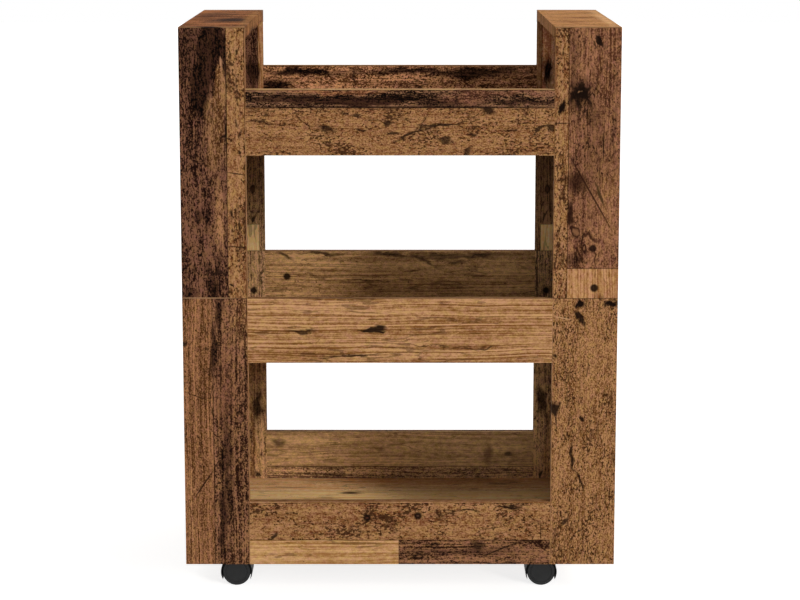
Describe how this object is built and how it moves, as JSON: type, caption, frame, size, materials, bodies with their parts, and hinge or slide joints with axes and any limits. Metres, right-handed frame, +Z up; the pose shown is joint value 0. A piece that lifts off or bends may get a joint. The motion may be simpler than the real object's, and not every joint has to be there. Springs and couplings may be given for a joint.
{
  "type": "kitchen cart",
  "caption": "Open rolling kitchen cart with hollow side posts, railed tray shelves and hooded twin-wheel swivel casters, in boards printed as old planks.",
  "frame": {"origin": "on the floor under the middle of the cart", "axes": "+Z up, the front with the viewer's side of the rails faces -Y, +X to the viewer's right"},
  "size_m": [0.6, 0.45, 0.8],
  "materials": {
    "printed_board": "satin printed paper on engineered board, a collage of old planks with cracks and nail marks",
    "beech_dowel": "plain turned beech",
    "zinc_plated_steel": "bright zinc plating",
    "cast_zinc": "dull die-cast zinc",
    "spring_steel": "blued spring steel",
    "washer_nylon": "natural nylon",
    "hood_plastic": "finely grained black moulded nylon",
    "wheel_plastic": "satin black moulded nylon"
  },
  "bodies": {
    "cart": {"left_side_panel": "printed_board", "right_side_panel": "printed_board", "left_top_board": "printed_board", "right_top_board": "printed_board", "left_front_post": "printed_board", "left_back_post": "printed_board", "right_front_post": "printed_board", "right_back_post": "printed_board", "bottom_shelf": "printed_board", "middle_shelf": "printed_board", "top_shelf": "printed_board", "bottom_front_rail": "printed_board", "bottom_back_rail": "printed_board", "middle_front_rail": "printed_board", "middle_back_rail": "printed_board", "top_front_rail": "printed_board", "top_back_rail": "printed_board", "rail_dowels": "beech_dowel", "shelf_dowels": "beech_dowel", "panel_dowels": "beech_dowel", "rail_cam_bolts": "zinc_plated_steel", "shelf_cam_bolts": "zinc_plated_steel", "panel_cam_bolts": "zinc_plated_steel", "caster_screws": "zinc_plated_steel", "rail_cam_locks": "cast_zinc", "shelf_cam_locks": "cast_zinc", "panel_cam_locks": "cast_zinc", "stem_rings": "spring_steel", "front_left_caster_plate": "zinc_plated_steel", "front_left_caster_stem": "zinc_plated_steel", "front_left_caster_washer": "washer_nylon", "front_right_caster_plate": "zinc_plated_steel", "front_right_caster_stem": "zinc_plated_steel", "front_right_caster_washer": "washer_nylon", "rear_left_caster_plate": "zinc_plated_steel", "rear_left_caster_stem": "zinc_plated_steel", "rear_left_caster_washer": "washer_nylon", "rear_right_caster_plate": "zinc_plated_steel", "rear_right_caster_stem": "zinc_plated_steel", "rear_right_caster_washer": "washer_nylon"},
    "front_left_swivel_hood": {"front_left_caster_hood": "hood_plastic", "front_left_caster_axle": "zinc_plated_steel"},
    "front_left_wheel_a": {"front_left_caster_wheel_a": "wheel_plastic"},
    "front_left_wheel_b": {"front_left_caster_wheel_b": "wheel_plastic"},
    "front_right_swivel_hood": {"front_right_caster_hood": "hood_plastic", "front_right_caster_axle": "zinc_plated_steel"},
    "front_right_wheel_a": {"front_right_caster_wheel_a": "wheel_plastic"},
    "front_right_wheel_b": {"front_right_caster_wheel_b": "wheel_plastic"},
    "rear_left_swivel_hood": {"rear_left_caster_hood": "hood_plastic", "rear_left_caster_axle": "zinc_plated_steel"},
    "rear_left_wheel_a": {"rear_left_caster_wheel_a": "wheel_plastic"},
    "rear_left_wheel_b": {"rear_left_caster_wheel_b": "wheel_plastic"},
    "rear_right_swivel_hood": {"rear_right_caster_hood": "hood_plastic", "rear_right_caster_axle": "zinc_plated_steel"},
    "rear_right_wheel_a": {"rear_right_caster_wheel_a": "wheel_plastic"},
    "rear_right_wheel_b": {"rear_right_caster_wheel_b": "wheel_plastic"}
  },
  "joints": [
    {"name": "front_left_swivel", "type": "hinge", "parent": "cart", "child": "front_left_swivel_hood", "pos_m": [-0.218, -0.14, 0.042], "axis": [0, 0, 1], "continuous": true},
    {"name": "front_left_wheel_a_spin", "type": "hinge", "parent": "front_left_swivel_hood", "child": "front_left_wheel_a", "pos_m": [-0.234, -0.14, 0.02], "axis": [0, 1, 0], "continuous": true},
    {"name": "front_left_wheel_b_spin", "type": "hinge", "parent": "front_left_swivel_hood", "child": "front_left_wheel_b", "pos_m": [-0.234, -0.14, 0.02], "axis": [0, 1, 0], "continuous": true},
    {"name": "front_right_swivel", "type": "hinge", "parent": "cart", "child": "front_right_swivel_hood", "pos_m": [0.218, -0.14, 0.042], "axis": [0, 0, 1], "continuous": true},
    {"name": "front_right_wheel_a_spin", "type": "hinge", "parent": "front_right_swivel_hood", "child": "front_right_wheel_a", "pos_m": [0.202, -0.14, 0.02], "axis": [0, 1, 0], "continuous": true},
    {"name": "front_right_wheel_b_spin", "type": "hinge", "parent": "front_right_swivel_hood", "child": "front_right_wheel_b", "pos_m": [0.202, -0.14, 0.02], "axis": [0, 1, 0], "continuous": true},
    {"name": "rear_left_swivel", "type": "hinge", "parent": "cart", "child": "rear_left_swivel_hood", "pos_m": [-0.218, 0.14, 0.042], "axis": [0, 0, 1], "continuous": true},
    {"name": "rear_left_wheel_a_spin", "type": "hinge", "parent": "rear_left_swivel_hood", "child": "rear_left_wheel_a", "pos_m": [-0.234, 0.14, 0.02], "axis": [0, 1, 0], "continuous": true},
    {"name": "rear_left_wheel_b_spin", "type": "hinge", "parent": "rear_left_swivel_hood", "child": "rear_left_wheel_b", "pos_m": [-0.234, 0.14, 0.02], "axis": [0, 1, 0], "continuous": true},
    {"name": "rear_right_swivel", "type": "hinge", "parent": "cart", "child": "rear_right_swivel_hood", "pos_m": [0.218, 0.14, 0.042], "axis": [0, 0, 1], "continuous": true},
    {"name": "rear_right_wheel_a_spin", "type": "hinge", "parent": "rear_right_swivel_hood", "child": "rear_right_wheel_a", "pos_m": [0.202, 0.14, 0.02], "axis": [0, 1, 0], "continuous": true},
    {"name": "rear_right_wheel_b_spin", "type": "hinge", "parent": "rear_right_swivel_hood", "child": "rear_right_wheel_b", "pos_m": [0.202, 0.14, 0.02], "axis": [0, 1, 0], "continuous": true}
  ]
}
